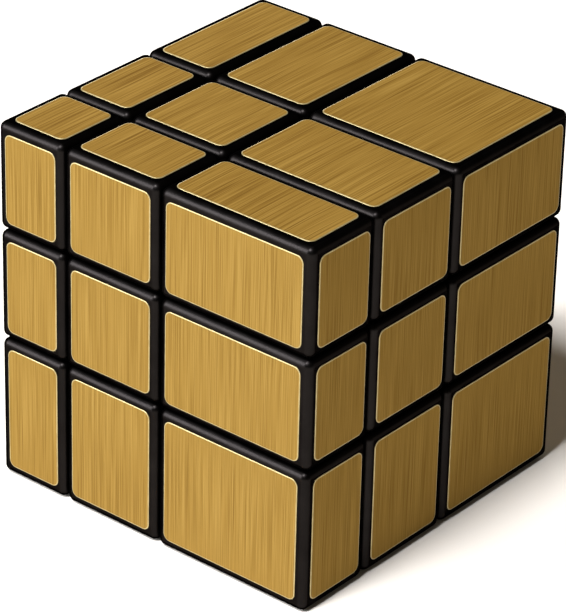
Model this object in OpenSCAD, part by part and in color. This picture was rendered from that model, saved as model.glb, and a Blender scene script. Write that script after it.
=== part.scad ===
// Mirror block cube: a three-layer twisting puzzle whose layers all differ in thickness.
// Frame: +Z up, -Y is the front, +X the right. Origin at the centre of the resting face.
// The six screws cross at the core's centre, which is off the centre of the outer box.
// Every piece is a hollow outer block glued onto an inner foot that locks into the mechanism.

/* [Layers] */
// Thickness of each of the three middle layers
middle_layer = 17.5; // [15:0.5:21]
// Thickness of the left layer
left_layer = 12.5; // [10.5:0.5:24]
// Thickness of the right layer
right_layer = 27; // [12:0.5:36]
// Thickness of the front layer
front_layer = 13.5; // [10.5:0.5:24]
// Thickness of the back layer
back_layer = 26; // [12:0.5:36]
// Thickness of the top layer
up_layer = 17; // [10.5:0.5:30]
// Thickness of the bottom layer
down_layer = 22.5; // [12:0.5:36]

/* [Blocks] */
// Gap between neighbouring blocks
gap = 0.3; // [0.2:0.05:0.5]
// Radius along every block edge and corner
edge_r = 1.1; // [0.6:0.1:1.8]
// Wall of the hollow outer blocks
wall = 1.6; // [1.2:0.1:2]
// Clearance of a foot in its block's socket
fit = 0.05; // [0.02:0.01:0.1]

/* [Foil stickers] */
// Thickness of a foil sticker
foil_t = 0.1; // [0.05:0.05:0.4]
// Corner radius of a foil sticker
foil_r = 1.1; // [0.6:0.1:1.6]
// Flat left bare between a sticker and the rounding beside a groove
foil_groove_margin = 0.15; // [0:0.05:0.6]
// Flat left bare between a sticker and the rounding at the cube's outer edges
foil_outer_margin = 0.38; // [0:0.01:0.6]

/* [Mechanism] */
// How far a foot hooks sideways under the neighbouring block
hook = 2.5; // [1.5:0.1:3]
// How far the track ball reaches past the corner of the middle cell
corner_grip = 2.6; // [2:0.1:3.2]
// Radius of the hollow that the core turns in
hub_r = 9.5; // [9:0.1:10]
// Shoulder of a foot past the track ball
shoulder = 0.8; // [0.5:0.1:1.2]
// Solid floor of a centre piece under its spring
floor_t = 1.9; // [1.4:0.1:2.2]

/* [Core and fasteners] */
// Width of the core's middle block
core_w = 10.4; // [10:0.1:12]
// Radius along the edges of the core's middle block
core_edge_r = 1; // [0.5:0.1:1.2]
// Radius of the six core arms
arm_r = 3.6; // [3:0.1:4.2]
// Distance from the core's centre to the blind end of a screw hole
screw_hole_end = 3.6; // [3.2:0.1:5]
// Radius of the screw shank
screw_r = 1.5; // [1.2:0.1:1.6]
// Running clearance of a centre piece on its screw
screw_play = 0.08; // [0.05:0.01:0.1]
// Clearance of the shank in the core
thread_fit = 0.03; // [0.02:0.01:0.05]
// Distance from the core's centre to the screw tip
screw_tip = 4.2; // [3.8:0.1:5.5]
// Radius of the screw head
head_r = 2.8; // [2.5:0.1:3]
// Height of the screw head
head_h = 1.5; // [1:0.1:1.6]
// Depth of the cross recess in the screw head
recess_depth = 0.9; // [0.4:0.1:0.9]
// Width of each slot of the cross recess
recess_w = 0.7; // [0.4:0.1:0.9]
// Gap around the screw head in its pocket
pocket_play = 0.8; // [0.4:0.1:1]
// Washer thickness
washer_t = 0.5; // [0.3:0.1:0.6]
// Length of the fitted spring
spring_len = 3.4; // [2.8:0.1:3.6]
// Spring wire diameter
wire_d = 0.55; // [0.4:0.05:0.6]
// Turns of each spring
spring_turns = 4; // [3:0.5:4.5]
// Gap between a spring and the pieces at its ends
seat_play = 0.05; // [0.02:0.01:0.1]

/* [Hidden] */
$fn = 48;
// half of the gap, taken off every sliding face
g = gap / 2;
// cut planes outside and inside the track ball
a = middle_layer / 2;
b = a - hook;
// the track ball that the feet run in
ball_r = sqrt(3) * (a + g) + corner_grip;
// distance from the core's centre to each outer face: [minus side, plus side] for X, Y, Z
reach = [
  [a + left_layer, a + right_layer],
  [a + front_layer, a + back_layer],
  [a + down_layer, a + up_layer]
];
least_reach = min([for (r = reach) min(r)]);
// the core's centre in the part's frame
core_at = [(left_layer - right_layer) / 2, (front_layer - back_layer) / 2, a + down_layer];
// how far the root of a foot goes into its block, past the ball on every side
corner_root = sqrt(pow(ball_r + g, 2) - 2 * pow(a + g, 2)) + shoulder;
edge_root = sqrt(pow(ball_r + g, 2) - pow(a + g, 2)) + shoulder;
// the six centre feet are alike, so they end under the cap of the shallowest side
center_root = least_reach - foil_t - wall - fit;
// along each screw, from the core's centre
pocket_floor = hub_r + g + floor_t;
washer_top = pocket_floor + seat_play + washer_t;
head_base = washer_top + 2 * seat_play + spring_len;
pocket_r = head_r + pocket_play;
bore_r = screw_r + screw_play;
// the flat ends of the core arms stay inside the hollow of the centre pieces
arm_end = sqrt(pow(hub_r - g, 2) - pow(arm_r, 2));
far = 3 * max([for (r = reach) max(r)]);

cells = [
  for (x = [-1 : 1], y = [-1 : 1], z = [-1 : 1])
    if (x != 0 || y != 0 || z != 0) [x, y, z]
];
directions = [for (c = cells) if (kind(c) == 1) c];

function kind(c) = abs(c[0]) + abs(c[1]) + abs(c[2]);
function z_word(c) = c[2] > 0 ? "_up" : c[2] < 0 ? "_down" : "";
function y_word(c) = c[1] > 0 ? "_back" : c[1] < 0 ? "_front" : "";
function x_word(c) = c[0] > 0 ? "_right" : c[0] < 0 ? "_left" : "";
function place(c) = str(z_word(c), y_word(c), x_word(c));
function block_name(c) = str(["", "center", "edge", "corner"][kind(c)], place(c));
function foil_name(c) = str(kind(c) == 1 ? "foil" : "foils", place(c));

// box of a cell: from "inner" to "outer" on the sides it has, +-half on the others
function side(c, i) = c[i] > 0 ? reach[i][1] : reach[i][0];
function low(c, inner, half, outer) =
  [for (i = [0 : 2]) c[i] == 0 ? -half : c[i] > 0 ? inner : -outer[i]];
function high(c, inner, half, outer) =
  [for (i = [0 : 2]) c[i] == 0 ? half : c[i] > 0 ? outer[i] : -inner];
function to_face(c, depth) = [for (i = [0 : 2]) side(c, i) - depth];
function same(v) = [v, v, v];

module from_core() translate(core_at) children();

// turns +Z onto one of the six directions
module along(d) {
  if (d[0] != 0) rotate([0, 90 * d[0], 0]) children();
  else if (d[1] != 0) rotate([-90 * d[1], 0, 0]) children();
  else if (d[2] < 0) rotate([180, 0, 0]) children();
  else children();
}

module span(p, q) translate(p) cube(q - p);

module cell_box(c, inner, half, outer)
  span(low(c, inner, half, outer), high(c, inner, half, outer));

// flat outline with rounded corners
module rounded_square(w, h, r) {
  square([w - 2 * r, h], center = true);
  square([w, h - 2 * r], center = true);
  for (u = [-1, 1], v = [-1, 1]) translate([u * (w / 2 - r), v * (h / 2 - r)]) circle(r = r);
}

// a box with every edge rounded
module rounded_box(p, q, r) {
  size = q - p;
  translate((p + q) / 2) intersection() {
    linear_extrude(height = size[2], center = true) rounded_square(size[0], size[1], r);
    rotate([90, 0, 0]) linear_extrude(height = size[1], center = true)
      rounded_square(size[0], size[2], r);
    rotate([90, 0, 90]) linear_extrude(height = size[0], center = true)
      rounded_square(size[1], size[2], r);
  }
}

// a ball about the core's centre, its seam turned away from the cell
module ball(c, r)
  rotate([0, asin(c[2] / norm(c)), atan2(-c[1], -c[0])]) sphere(r = r, $fn = 96);

// hollow outer block, open where the foot plugs in
module shell(c) {
  outer = to_face(c, foil_t);
  inner = to_face(c, foil_t + wall);
  root = same((kind(c) == 3 ? corner_root : edge_root) + fit);
  difference() {
    rounded_box(low(c, a + g, a - g, outer), high(c, a + g, a - g, outer), edge_r);
    if (kind(c) > 1) {
      cell_box(c, a + g + wall, a - g - wall, inner);
      cell_box(c, 0, a - g - wall, root);
    } else cell_box(c, 0, a - g - wall, inner);
    if (kind(c) < 3) ball(c, ball_r + g);
  }
}

// the part of a foot that hooks under its neighbours inside the track ball
module hooked(c) intersection() {
  cell_box(c, b + g, b - g, same(far));
  ball(c, ball_r - g);
}

// the root of a foot, glued into the block
module root(c, depth) difference() {
  cell_box(c, a + g, a - g - wall - fit, same(depth));
  ball(c, ball_r + g);
}

module corner_foot(c) {
  hooked(c);
  cell_box(c, a + g, 0, same(corner_root));
}

module edge_foot(c) difference() {
  union() {
    hooked(c);
    root(c, edge_root);
    cell_box(c, a + g, b - g, same(edge_root));
  }
  ball(c, hub_r + g);
}

module center_foot(c) difference() {
  union() {
    root(c, center_root);
    cell_box(c, b + g, b - g, same(center_root));
  }
  ball(c, hub_r + g);
  along(c) {
    cylinder(r = bore_r, h = far);
    translate([0, 0, pocket_floor]) cylinder(r = pocket_r, h = far);
  }
}

// one puzzle piece: its outer block and its foot
module block(c) color("#191617") from_core() {
  shell(c);
  if (kind(c) == 3) corner_foot(c);
  if (kind(c) == 2) edge_foot(c);
  if (kind(c) == 1) center_foot(c);
}

// the foil stickers of one piece, one on each outer face
module foils(c) color("#c9a04e") from_core() {
  outer = to_face(c, foil_t + edge_r + foil_outer_margin);
  p = low(c, a + g + edge_r + foil_groove_margin, a - g - edge_r - foil_groove_margin, outer);
  q = high(c, a + g + edge_r + foil_groove_margin, a - g - edge_r - foil_groove_margin, outer);
  mid = (p + q) / 2;
  size = q - p;
  if (c[0] != 0) translate([c[0] * (side(c, 0) - foil_t / 2), mid[1], mid[2]]) rotate([90, 0, 90])
    linear_extrude(height = foil_t, center = true) rounded_square(size[1], size[2], foil_r);
  if (c[1] != 0) translate([mid[0], c[1] * (side(c, 1) - foil_t / 2), mid[2]]) rotate([90, 0, 0])
    linear_extrude(height = foil_t, center = true) rounded_square(size[0], size[2], foil_r);
  if (c[2] != 0) translate([mid[0], mid[1], c[2] * (side(c, 2) - foil_t / 2)])
    linear_extrude(height = foil_t, center = true) rounded_square(size[0], size[1], foil_r);
}

// six-armed core that every centre piece is screwed to
module core() color("#e8e4da") from_core() difference() {
  union() {
    rounded_box(-same(core_w / 2), same(core_w / 2), core_edge_r);
    for (d = directions) along(d) translate([0, 0, core_w / 4])
      cylinder(r = arm_r, h = arm_end - core_w / 4);
  }
  for (d = directions) along(d) translate([0, 0, screw_hole_end])
    cylinder(r = screw_r + thread_fit, h = hub_r);
}

module washers() color("#b9bcc0") from_core() for (d = directions) along(d)
  translate([0, 0, pocket_floor + seat_play]) difference() {
    cylinder(r = head_r, h = washer_t);
    translate([0, 0, -1]) cylinder(r = bore_r, h = washer_t + 2);
  }

// wire of a spring as one swept tube
module spring() {
  sides = 6;
  per_turn = 14;
  rings = spring_turns * per_turn;
  mean_r = (bore_r + head_r) / 2;
  rise = spring_len - wire_d;
  points = [
    for (k = [0 : rings], s = [0 : sides - 1])
      let (t = 360 * k / per_turn, f = 360 * s / sides, r = mean_r + wire_d / 2 * cos(f))
        [r * cos(t), r * sin(t), wire_d / 2 + rise * k / rings + wire_d / 2 * sin(f)]
  ];
  faces = concat(
    [[for (s = [0 : sides - 1]) s]],
    [for (k = [0 : rings - 1], s = [0 : sides - 1])
      let (n = (s + 1) % sides, p = k * sides, q = p + sides) [p + s, q + s, q + n, p + n]],
    [[for (s = [0 : sides - 1]) rings * sides + sides - 1 - s]]
  );
  polyhedron(points = points, faces = faces, convexity = 6);
}

module springs() color("#9a9da2") from_core() for (d = directions) along(d)
  translate([0, 0, washer_top + seat_play]) spring();

module screws() color("#c3c6ca") from_core() for (d = directions) along(d) difference() {
  union() {
    translate([0, 0, screw_tip]) cylinder(r = screw_r, h = head_base - screw_tip);
    translate([0, 0, head_base]) cylinder(r = head_r, h = head_h);
  }
  translate([0, 0, head_base + head_h]) {
    cube([2 * screw_r + recess_w, recess_w, 2 * recess_depth], center = true);
    cube([recess_w, 2 * screw_r + recess_w, 2 * recess_depth], center = true);
  }
}

core();
washers();
springs();
screws();
for (c = cells) block(c);
for (c = cells) foils(c);
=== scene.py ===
import math

import bmesh
import bpy
from mathutils import Matrix, Vector


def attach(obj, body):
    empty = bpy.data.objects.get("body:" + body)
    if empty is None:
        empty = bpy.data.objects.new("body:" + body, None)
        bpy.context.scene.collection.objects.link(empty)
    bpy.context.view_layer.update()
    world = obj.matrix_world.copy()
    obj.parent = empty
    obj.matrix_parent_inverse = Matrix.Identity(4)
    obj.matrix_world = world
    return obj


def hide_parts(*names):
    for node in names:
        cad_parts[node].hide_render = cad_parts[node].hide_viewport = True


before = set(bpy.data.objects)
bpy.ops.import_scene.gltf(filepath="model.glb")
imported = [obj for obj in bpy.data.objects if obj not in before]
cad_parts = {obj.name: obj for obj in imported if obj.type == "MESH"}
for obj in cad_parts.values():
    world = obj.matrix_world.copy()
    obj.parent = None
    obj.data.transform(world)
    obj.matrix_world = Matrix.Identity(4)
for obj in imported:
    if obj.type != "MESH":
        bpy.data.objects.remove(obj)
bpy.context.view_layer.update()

# Sizes of the puzzle in millimetres, as the CAD model has them.
MM = 0.001
MIDDLE = 17.5
LAYERS = ((12.5, 27.0), (13.5, 26.0), (22.5, 17.0))
GAP = 0.3
EDGE_R = 1.1
WALL = 1.6
FIT = 0.05
FOIL_T = 0.1
FOIL_R = 1.1
GROOVE_MARGIN = 0.15
OUTER_MARGIN = 0.38
CORNER_GRIP = 2.6
SHOULDER = 0.8

A = MIDDLE / 2
G = GAP / 2
REACH = [[A + minus, A + plus] for minus, plus in LAYERS]
LEAST_REACH = min(min(r) for r in REACH)
CORE_AT = Vector((
    (LAYERS[0][0] - LAYERS[0][1]) / 2,
    (LAYERS[1][0] - LAYERS[1][1]) / 2,
    A + LAYERS[2][0],
))
BALL_R = math.sqrt(3) * (A + G) + CORNER_GRIP
CORNER_ROOT = math.sqrt((BALL_R + G) ** 2 - 2 * (A + G) ** 2) + SHOULDER
EDGE_ROOT = math.sqrt((BALL_R + G) ** 2 - (A + G) ** 2) + SHOULDER

WORDS = (("left", "right"), ("front", "back"), ("down", "up"))
CELLS = [
    (x, y, z) for x in (-1, 0, 1) for y in (-1, 0, 1) for z in (-1, 0, 1) if x or y or z
]


def kind(c):
    return sum(map(abs, c))


def place(c):
    return "".join("_" + WORDS[i][c[i] > 0] for i in (2, 1, 0) if c[i])


def node_name(c):
    return ("", "center", "edge", "corner")[kind(c)] + place(c)


def foil_name(c):
    return ("foil" if kind(c) == 1 else "foils") + place(c)


def cell_box(c, inner, half, outer):
    """Low and high corner of a cell's box about the core's centre."""
    low, high = [], []
    for i in range(3):
        if c[i] == 0:
            low.append(-half)
            high.append(half)
        elif c[i] > 0:
            low.append(inner)
            high.append(outer[i])
        else:
            low.append(-outer[i])
            high.append(-inner)
    return Vector(low), Vector(high)


def to_face(c, depth):
    return [REACH[i][c[i] > 0] - depth for i in range(3)]


# ---------------------------------------------------------------- materials


def new_material(name):
    mat = bpy.data.materials.new(name)
    mat.use_nodes = True
    tree = mat.node_tree
    return mat, tree, tree.nodes["Principled BSDF"]


def node(tree, kind_name, **values):
    made = tree.nodes.new(kind_name)
    for key, value in values.items():
        if key in made.inputs:
            made.inputs[key].default_value = value
        else:
            setattr(made, key, value)
    return made


def noise(tree, vector, scale, detail=3.0, rough=0.5):
    made = node(tree, "ShaderNodeTexNoise", Scale=scale, Detail=detail, Roughness=rough)
    tree.links.new(vector, made.inputs["Vector"])
    return made.outputs["Fac"]


def stretched(tree, vector, scale, offset=(0, 0, 0)):
    made = node(tree, "ShaderNodeMapping", Scale=scale, Location=offset)
    tree.links.new(vector, made.inputs["Vector"])
    return made.outputs["Vector"]


def remap(tree, value, low, high, to_low, to_high):
    made = node(tree, "ShaderNodeMapRange")
    tree.links.new(value, made.inputs["Value"])
    for key, number in zip(("From Min", "From Max", "To Min", "To Max"), (low, high, to_low, to_high)):
        made.inputs[key].default_value = number
    return made.outputs["Result"]


def math_node(tree, operation, a, b):
    made = node(tree, "ShaderNodeMath", operation=operation)
    for slot_index, value in enumerate((a, b)):
        if isinstance(value, (int, float)):
            made.inputs[slot_index].default_value = value
        else:
            tree.links.new(value, made.inputs[slot_index])
    return made.outputs[0]


def bump(tree, shader, height, strength, distance):
    made = node(tree, "ShaderNodeBump", Strength=strength, Distance=distance)
    tree.links.new(height, made.inputs["Height"])
    tree.links.new(made.outputs["Normal"], shader.inputs["Normal"])


def ramp(tree, value, stops):
    made = node(tree, "ShaderNodeValToRGB")
    tree.links.new(value, made.inputs["Fac"])
    elements = made.color_ramp.elements
    while len(elements) < len(stops):
        elements.new(0.5)
    for element, (at, colour) in zip(elements, stops):
        element.position = at
        element.color = (*colour, 1)
    return made.outputs["Color"]


def plastic_material(name, dark, light, roughness):
    """Moulded plastic: a faint moulding texture, uneven gloss and a little colour drift."""
    mat, tree, shader = new_material(name)
    where = node(tree, "ShaderNodeTexCoord").outputs["Object"]
    drift = noise(tree, where, 260.0, 4.0, 0.55)
    fine = noise(tree, where, 5200.0, 2.0, 0.6)
    tree.links.new(ramp(tree, drift, ((0.30, dark), (0.72, light))), shader.inputs["Base Color"])
    uneven = math_node(tree, "ADD", remap(tree, drift, 0.3, 0.7, -0.04, 0.05),
                       remap(tree, fine, 0.3, 0.7, roughness - 0.03, roughness + 0.03))
    tree.links.new(uneven, shader.inputs["Roughness"])
    bump(tree, shader, fine, 0.12, 0.00003)
    return mat, shader


def deep_black(name, dark, light, roughness):
    """Jet black plastic. It is no metal: metallic is set so that the black edge tint takes effect."""
    mat, shader = plastic_material(name, dark, light, roughness)
    shader.inputs["Metallic"].default_value = 1.0
    shader.inputs["Specular Tint"].default_value = (0.0, 0.0, 0.0, 1)
    return mat


def foil_material(name, low, middle, high, contrast, sway):
    """Metallised film with a straight brushed grain. UV is in millimetres, v along the grain."""
    mat, tree, shader = new_material(name)
    uv = node(tree, "ShaderNodeTexCoord").outputs["UV"]
    drift = node(tree, "ShaderNodeCombineXYZ")
    wander = noise(tree, stretched(tree, uv, (0.10, 0.07, 1.0)), 1.0, 1.0)
    tree.links.new(remap(tree, wander, 0.3, 0.7, -sway, sway), drift.inputs["X"])
    bent = node(tree, "ShaderNodeVectorMath", operation="ADD")
    tree.links.new(uv, bent.inputs[0])
    tree.links.new(drift.outputs["Vector"], bent.inputs[1])
    uv = bent.outputs["Vector"]

    def drawn_out(per_mm, along, offset, detail):
        where = stretched(tree, uv, (per_mm, along, 1.0), (offset, 0.7 * offset, 0.0))
        return noise(tree, where, 1.0, detail, 0.5)

    def streaks(per_mm, along, offset):
        return remap(tree, drawn_out(per_mm, along, offset, 1.0), 0.3, 0.7, -0.5, 0.5)

    def scratches(per_mm, along, offset):
        return remap(tree, drawn_out(per_mm, along, offset, 0.0), 0.58, 0.72, 0.0, 1.0)

    hair = streaks(7.4, 0.055, 31.0)
    lines = streaks(3.6, 0.034, 17.0)
    bands = streaks(0.8, 0.012, 5.0)
    patches = noise(tree, stretched(tree, uv, (0.09, 0.06, 1.0)), 1.0, 1.0, 0.5)
    cloud = remap(tree, patches, 0.3, 0.7, -0.5, 0.5)
    strength = remap(tree, noise(tree, stretched(tree, uv, (0.9, 0.07, 1.0), (3.0, 8.0, 0.0)), 1.0, 1.0),
                     0.35, 0.65, 0.1, 1.0)
    marks = math_node(tree, "MULTIPLY", scratches(4.6, 0.045, 11.0), strength)
    grain = math_node(tree, "ADD", math_node(tree, "MULTIPLY", hair, 1.00),
                      math_node(tree, "MULTIPLY", lines, 0.16))
    grain = math_node(tree, "SUBTRACT", grain, math_node(tree, "MULTIPLY", marks, 0.62))
    broad = math_node(tree, "ADD", math_node(tree, "MULTIPLY", bands, 0.07),
                      math_node(tree, "MULTIPLY", cloud, 0.10))
    mixed = math_node(tree, "ADD", grain, math_node(tree, "ADD", broad, 0.08))
    tone = remap(tree, mixed, -0.5, 0.5, 0.5 - 0.5 * contrast, 0.5 + 0.5 * contrast)
    colour = ramp(tree, tone, ((0.0, low), (0.5, middle), (1.0, high)))
    tree.links.new(colour, shader.inputs["Base Color"])
    tree.links.new(remap(tree, grain, -0.5, 0.5, 0.50, 0.38), shader.inputs["Roughness"])
    shader.inputs["Metallic"].default_value = 0.2
    shader.inputs["IOR"].default_value = 1.06
    shader.inputs["Specular Tint"].default_value = (1.0, 0.72, 0.30, 1)
    bump(tree, shader, grain, 0.20, 0.00004)
    return mat


def painted_highlight_rim_material(name, low, high):
    """The cut edge of the film, in a paler, brighter gold than the face: a painted highlight along the
    rim.
    """
    mat, tree, shader = new_material(name)
    where = node(tree, "ShaderNodeTexCoord").outputs["Object"]
    worn = noise(tree, where, 900.0, 3.0, 0.6)
    tree.links.new(ramp(tree, worn, ((0.35, low), (0.65, high))), shader.inputs["Base Color"])
    tree.links.new(remap(tree, worn, 0.3, 0.7, 0.30, 0.42), shader.inputs["Roughness"])
    shader.inputs["Metallic"].default_value = 0.45
    bump(tree, shader, worn, 0.10, 0.00002)
    return mat


def steel_material(name, colour, roughness):
    mat, tree, shader = new_material(name)
    where = node(tree, "ShaderNodeTexCoord").outputs["Object"]
    lines = noise(tree, stretched(tree, where, (2600.0, 2600.0, 900.0)), 1.0, 3.0, 0.6)
    darker = tuple(0.72 * part for part in colour)
    tree.links.new(ramp(tree, lines, ((0.3, darker), (0.7, colour))), shader.inputs["Base Color"])
    tree.links.new(remap(tree, lines, 0.3, 0.7, roughness - 0.06, roughness + 0.08),
                   shader.inputs["Roughness"])
    shader.inputs["Metallic"].default_value = 1.0
    bump(tree, shader, lines, 0.10, 0.00002)
    return mat


BLACK = deep_black("black_abs", (0.0100, 0.0087, 0.0083), (0.0150, 0.0132, 0.0126), 0.36)
FOOT = plastic_material("black_abs_inner", (0.006, 0.005, 0.005), (0.010, 0.009, 0.009), 0.30)[0]
WHITE = plastic_material("core_nylon", (0.58, 0.56, 0.50), (0.70, 0.68, 0.62), 0.42)[0]
# One film in two copies. Their grain contrast and sway differ. Their base colours also differ as painted
# light: the level copy is redder and less blue than the upright one, to copy how the top and side faces
# look lit.
FOIL_SIDE_PAINTED_TINT = foil_material(
    "foil_upright_grain_painted_tint", (0.106, 0.055, 0.010), (0.225, 0.133, 0.029), (0.340, 0.220, 0.060), 0.46, 0.04)
FOIL_LEVEL_PAINTED_TINT = foil_material(
    "foil_level_grain_painted_tint", (0.104, 0.047, 0.006), (0.222, 0.122, 0.021), (0.335, 0.204, 0.046), 0.66, 0.10)
# The rim's paler gold is a painted highlight along the sticker's bevel.
RIM_PAINTED_HIGHLIGHT = painted_highlight_rim_material("foil_rim_painted_highlight", (0.34, 0.265, 0.11), (0.44, 0.355, 0.17))
STEEL = steel_material("zinc_steel", (0.62, 0.62, 0.62), 0.28)
SPRING = steel_material("spring_wire", (0.46, 0.46, 0.48), 0.24)


# ------------------------------------------------------------------ pieces


def add_object(name, mesh, *materials):
    obj = bpy.data.objects.new(name, mesh)
    bpy.context.scene.collection.objects.link(obj)
    for mat in materials:
        mesh.materials.append(mat)
    return obj


def soft_shading(obj, angle=32):
    """Smooth curves with flat faces kept flat."""
    obj.data.shade_smooth()
    obj.data.set_sharp_from_angle(angle=math.radians(angle))
    even = obj.modifiers.new("even normals", "WEIGHTED_NORMAL")
    even.keep_sharp = True
    even.weight = 100


def rounded_box_mesh(name, low, high, r, steps=4):
    """Box whose edges and corners are rolled to one radius."""
    low, high = low + CORE_AT, high + CORE_AT
    middle, half = (low + high) / 2, (high - low) / 2
    rolls = [r * math.tan(math.radians(45 * k / steps)) for k in range(steps + 1)]
    lines = []
    for i in range(3):
        flat = half[i] - r
        lines.append([-flat - d for d in reversed(rolls)] + [flat + d for d in rolls])
    bm, found = bmesh.new(), {}

    def point(raw):
        inner = Vector([max(-half[i] + r, min(half[i] - r, raw[i])) for i in range(3)])
        at = middle + inner + (raw - inner).normalized() * r
        key = tuple(round(v, 6) for v in at)
        if key not in found:
            found[key] = bm.verts.new(at * MM)
        return found[key]

    for axis in range(3):
        u, v = (axis + 1) % 3, (axis + 2) % 3
        for side in (-1, 1):
            grid = []
            for a in lines[u]:
                row = []
                for b in lines[v]:
                    raw = Vector((0, 0, 0))
                    raw[axis], raw[u], raw[v] = side * half[axis], a, b
                    row.append(point(raw))
                grid.append(row)
            for i in range(len(grid) - 1):
                for j in range(len(grid[0]) - 1):
                    ring = [grid[i][j], grid[i + 1][j], grid[i + 1][j + 1], grid[i][j + 1]]
                    bm.faces.new(ring if side > 0 else ring[::-1])
    mesh = bpy.data.meshes.new(name)
    bm.to_mesh(mesh)
    bm.free()
    return mesh


def cutter(name, low, high):
    """Temporary box for cutting a socket."""
    low, high = (low + CORE_AT) * MM, (high + CORE_AT) * MM
    bm = bmesh.new()
    bmesh.ops.create_cube(bm, size=1)
    for vert in bm.verts:
        vert.co = Vector([low[i] if vert.co[i] < 0 else high[i] for i in range(3)])
    mesh = bpy.data.meshes.new(name)
    bm.to_mesh(mesh)
    bm.free()
    return add_object(name, mesh)


def track_ball():
    bm = bmesh.new()
    bmesh.ops.create_uvsphere(bm, u_segments=80, v_segments=40, radius=(BALL_R + G) * MM)
    bmesh.ops.rotate(bm, verts=bm.verts, matrix=Matrix.Rotation(0.7, 3, (1, 0.4, 0.2)))
    bmesh.ops.translate(bm, verts=bm.verts, vec=CORE_AT * MM)
    mesh = bpy.data.meshes.new("track_ball")
    bm.to_mesh(mesh)
    bm.free()
    return add_object("track_ball", mesh)


def make_blocks():
    """The hollow outer blocks, cut open where the feet plug in and run."""
    ball, spare, blocks = track_ball(), [], {}
    spare.append(ball)
    for c in CELLS:
        low, high = cell_box(c, A + G, A - G, to_face(c, FOIL_T))
        obj = add_object("block" + place(c), rounded_box_mesh("block" + place(c), low, high, EDGE_R))
        if kind(c) > 1:
            depth = (CORNER_ROOT if kind(c) == 3 else EDGE_ROOT) + FIT
            socket = cutter("socket", *cell_box(c, A - 2, A - G - WALL, (depth,) * 3))
        else:
            depth = LEAST_REACH - FOIL_T - WALL
            socket = cutter("socket", *cell_box(c, A - 2, A - G - WALL, (depth,) * 3))
        spare.append(socket)
        for tool in (socket, ball) if kind(c) < 3 else (socket,):
            cut = obj.modifiers.new("cut", "BOOLEAN")
            cut.operation, cut.solver, cut.object = "DIFFERENCE", "EXACT", tool
        blocks[c] = obj
    graph = bpy.context.evaluated_depsgraph_get()
    for c, obj in blocks.items():
        mesh = bpy.data.meshes.new_from_object(obj.evaluated_get(graph))
        obj.modifiers.clear()
        obj.data = mesh
        mesh.materials.clear()
        mesh.materials.append(BLACK)
        soft_shading(obj)
        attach(obj, node_name(c))
        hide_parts(node_name(c))
    for obj in spare:
        bpy.data.objects.remove(obj)


def make_feet():
    """Each piece's foot, as the CAD node has it, with its sharp edges broken."""
    centre = CORE_AT * MM
    for c in CELLS:
        bm = bmesh.new()
        bm.from_mesh(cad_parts[node_name(c)].data)
        bmesh.ops.remove_doubles(bm, verts=bm.verts, dist=0.000002)
        left, islands = set(bm.verts), []
        while left:
            stack, island = [left.pop()], set()
            while stack:
                vert = stack.pop()
                island.add(vert)
                for edge in vert.link_edges:
                    other = edge.other_vert(vert)
                    if other in left:
                        left.remove(other)
                        stack.append(other)
            islands.append(island)
        foot = min(islands, key=lambda island: min((v.co - centre).length for v in island))
        bmesh.ops.delete(bm, geom=[v for v in bm.verts if v not in foot], context="VERTS")
        bmesh.ops.dissolve_limit(bm, angle_limit=math.radians(0.4), verts=bm.verts, edges=bm.edges)
        mesh = bpy.data.meshes.new("foot" + place(c))
        bm.to_mesh(mesh)
        bm.free()
        obj = add_object("foot" + place(c), mesh, FOOT)
        edge = obj.modifiers.new("broken edges", "BEVEL")
        edge.width, edge.segments, edge.limit_method = 0.12 * MM, 2, "ANGLE"
        edge.angle_limit = math.radians(40)
        soft_shading(obj)
        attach(obj, node_name(c))
        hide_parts(node_name(c))


# Section of a sticker's rolled rim: inset in mm, and height as a share of the film's thickness.
RIM_PROFILE = ((0.0, 0.0), (0.0, 0.2), (0.015, 0.55), (0.05, 0.82), (0.10, 0.96), (0.16, 1.0))
# Material slots of a sticker: its face, its rim in a paler gold as a painted highlight, and the black
# foot of the rim as a painted shade line, with the underside.
FACE_SLOT, RIM_HIGHLIGHT_SLOT, FOOT_SHADE_AND_UNDERSIDE_SLOT = 0, 1, 2


def rounded_outline(width, height, r, steps=7):
    points = []
    for cx, cy, start in ((1, 1, 0), (-1, 1, 90), (-1, -1, 180), (1, -1, 270)):
        for k in range(steps + 1):
            t = math.radians(start + 90 * k / steps)
            points.append((cx * (width / 2 - r) + r * math.cos(t),
                           cy * (height / 2 - r) + r * math.sin(t)))
    return points


def sticker_mesh(name, width, height, put, uv_shift):
    """Film plate with a rolled rim. put maps (across, along, up) to the row frame; UV is in mm."""
    bm = bmesh.new()
    uv_layer = bm.loops.layers.uv.new("grain")
    rings, flat = [], {}
    for inset, share in RIM_PROFILE:
        z = share * FOIL_T
        ring = []
        for x, y in rounded_outline(width - 2 * inset, height - 2 * inset, FOIL_R - inset):
            vert = bm.verts.new(put(x, y, z))
            flat[vert] = (x + uv_shift[0], y + uv_shift[1])
            ring.append(vert)
        rings.append(ring)
    count = len(rings[0])
    for level, (lower, upper) in enumerate(zip(rings, rings[1:])):
        for i in range(count):
            face = bm.faces.new((lower[i], lower[(i + 1) % count], upper[(i + 1) % count], upper[i]))
            # The lowest band of the wall is black as painted shade at the sticker's foot; the bands above
            # take the rim's painted highlight.
            face.material_index = RIM_HIGHLIGHT_SLOT if level else FOOT_SHADE_AND_UNDERSIDE_SLOT
    bm.faces.new(rings[-1]).material_index = FACE_SLOT
    bm.faces.new(rings[0][::-1]).material_index = FOOT_SHADE_AND_UNDERSIDE_SLOT
    bmesh.ops.recalc_face_normals(bm, faces=bm.faces)
    for face in bm.faces:
        for loop in face.loops:
            loop[uv_layer].uv = flat[loop.vert]
    mesh = bpy.data.meshes.new(name)
    bm.to_mesh(mesh)
    bm.free()
    return mesh


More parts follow.
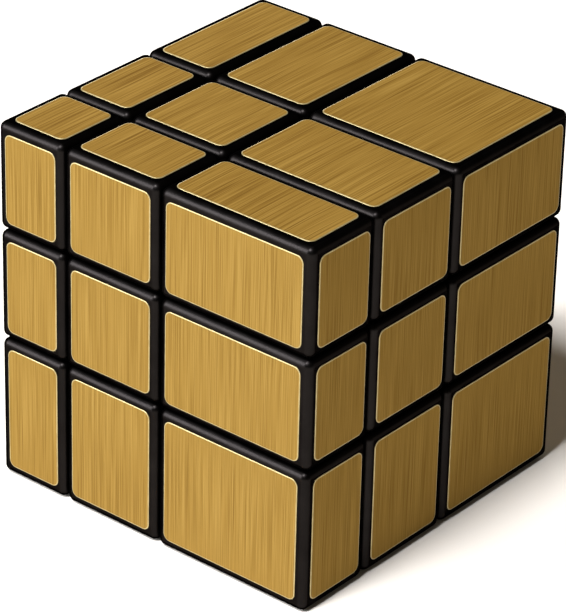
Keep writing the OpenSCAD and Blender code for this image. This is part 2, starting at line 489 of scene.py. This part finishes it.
def make_stickers():
    groove = A + G + EDGE_R + GROOVE_MARGIN
    half = A - G - EDGE_R - GROOVE_MARGIN
    number = 0
    for c in CELLS:
        low, high = cell_box(c, groove, half, to_face(c, FOIL_T + EDGE_R + OUTER_MARGIN))
        middle, size = (low + high) / 2 + CORE_AT, high - low
        for axis in (i for i in range(3) if c[i]):
            along = 1 if axis == 2 else 2
            across = 3 - axis - along
            outer = CORE_AT[axis] + c[axis] * (REACH[axis][c[axis] > 0] - FOIL_T)

            def put(x, y, z):
                at = Vector((0, 0, 0))
                at[across], at[along] = middle[across] + x, middle[along] + y
                at[axis] = outer + c[axis] * z
                return at * MM

            name = f"sticker{place(c)}_on_{WORDS[axis][c[axis] > 0]}"
            shift = (37.0 * (number % 7) + 3.1 * number, 61.0 * (number % 5) + 7.7 * number)
            number += 1
            # Level faces take the level foil copy and upright faces the upright copy; the two copies'
            # colours differ as painted light.
            obj = add_object(name, sticker_mesh(name, size[across], size[along], put, shift),
                             FOIL_LEVEL_PAINTED_TINT if axis == 2 else FOIL_SIDE_PAINTED_TINT, RIM_PAINTED_HIGHLIGHT, BLACK)
            soft_shading(obj, 50)
            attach(obj, node_name(c))
            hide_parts(foil_name(c))


def finish_hardware():
    """The core, screws, springs and washers keep their CAD shapes."""
    for name, mat in (("core", WHITE), ("screws", STEEL), ("washers", STEEL), ("springs", SPRING)):
        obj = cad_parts[name]
        for held in obj.material_slots:
            held.material = mat


make_blocks()
make_feet()
make_stickers()
finish_hardware()


# ------------------------------------------------------- stage, light, camera


def make_floor():
    bm = bmesh.new()
    bmesh.ops.create_grid(bm, x_segments=8, y_segments=8, size=6.0)
    bmesh.ops.translate(bm, verts=bm.verts, vec=(0, 0, -0.00003))
    mesh = bpy.data.meshes.new("floor")
    bm.to_mesh(mesh)
    bm.free()
    mat, tree, shader = new_material("pale_floor")
    where = node(tree, "ShaderNodeTexCoord").outputs["Object"]
    soft = noise(tree, where, 3.0, 2.0, 0.5)
    tree.links.new(ramp(tree, soft, ((0.3, (0.96, 0.90, 0.81)), (0.7, (0.98, 0.92, 0.83)))),
                   shader.inputs["Base Color"])
    shader.inputs["Roughness"].default_value = 0.9
    shader.inputs["Specular IOR Level"].default_value = 0.1
    obj = add_object("floor", mesh, mat)


def area_light(name, at, wide, tall, power, colour=(1, 1, 1), target=(0, 0, 0.03)):
    data = bpy.data.lights.new(name, "AREA")
    data.shape, data.size, data.size_y = "ELLIPSE" if wide == tall else "RECTANGLE", wide, tall
    data.energy, data.color = power, colour
    obj = bpy.data.objects.new(name, data)
    obj.location = at
    toward = Vector(target) - Vector(at)
    obj.rotation_euler = toward.to_track_quat("-Z", "Y").to_euler()
    bpy.context.scene.collection.objects.link(obj)


def make_world(strength, colour):
    world = bpy.data.worlds.new("studio")
    bpy.context.scene.world = world
    world.use_nodes = True
    back = world.node_tree.nodes["Background"]
    back.inputs["Color"].default_value = (*colour, 1)
    back.inputs["Strength"].default_value = strength


# The photo's viewing angle, in degrees, and where the camera stands, in metres.
CAMERA_TURN, CAMERA_DOWN, CAMERA_ROLL = 39.25, 29.09, 1.43
CAMERA_AT = (0.29691, -0.36293, 0.28725)
LENS_MM, SENSOR_MM = 219.9, 36


def make_camera():
    data = bpy.data.cameras.new("camera")
    data.lens = LENS_MM
    data.sensor_width = SENSOR_MM
    data.clip_start, data.clip_end = 0.01, 50
    obj = bpy.data.objects.new("camera", data)
    bpy.context.scene.collection.objects.link(obj)
    turn = (Matrix.Rotation(math.radians(CAMERA_TURN), 4, "Z")
            @ Matrix.Rotation(math.radians(90 - CAMERA_DOWN), 4, "X")
            @ Matrix.Rotation(math.radians(CAMERA_ROLL), 4, "Z"))
    obj.matrix_world = Matrix.Translation(CAMERA_AT) @ turn
    bpy.context.scene.camera = obj


make_floor()
make_world(0.06, (1.0, 0.88, 0.70))
area_light("key", (-0.03, -0.76, 1.36), 0.40, 0.40, 33, (0.98, 1.0, 1.05))
area_light("strip_front_left", (-0.73, -0.95, 0.55), 0.30, 0.85, 21.5, (0.97, 1.0, 1.06))
area_light("low_back_left", (-0.96, 0.86, 0.19), 0.40, 0.40, 3.5, (1.0, 0.90, 0.75))
area_light("low_back_right", (0.95, 0.87, 0.16), 0.30, 0.30, 0.5, (1.0, 0.92, 0.80))
make_camera()
bpy.context.scene.view_settings.view_transform = "Standard"
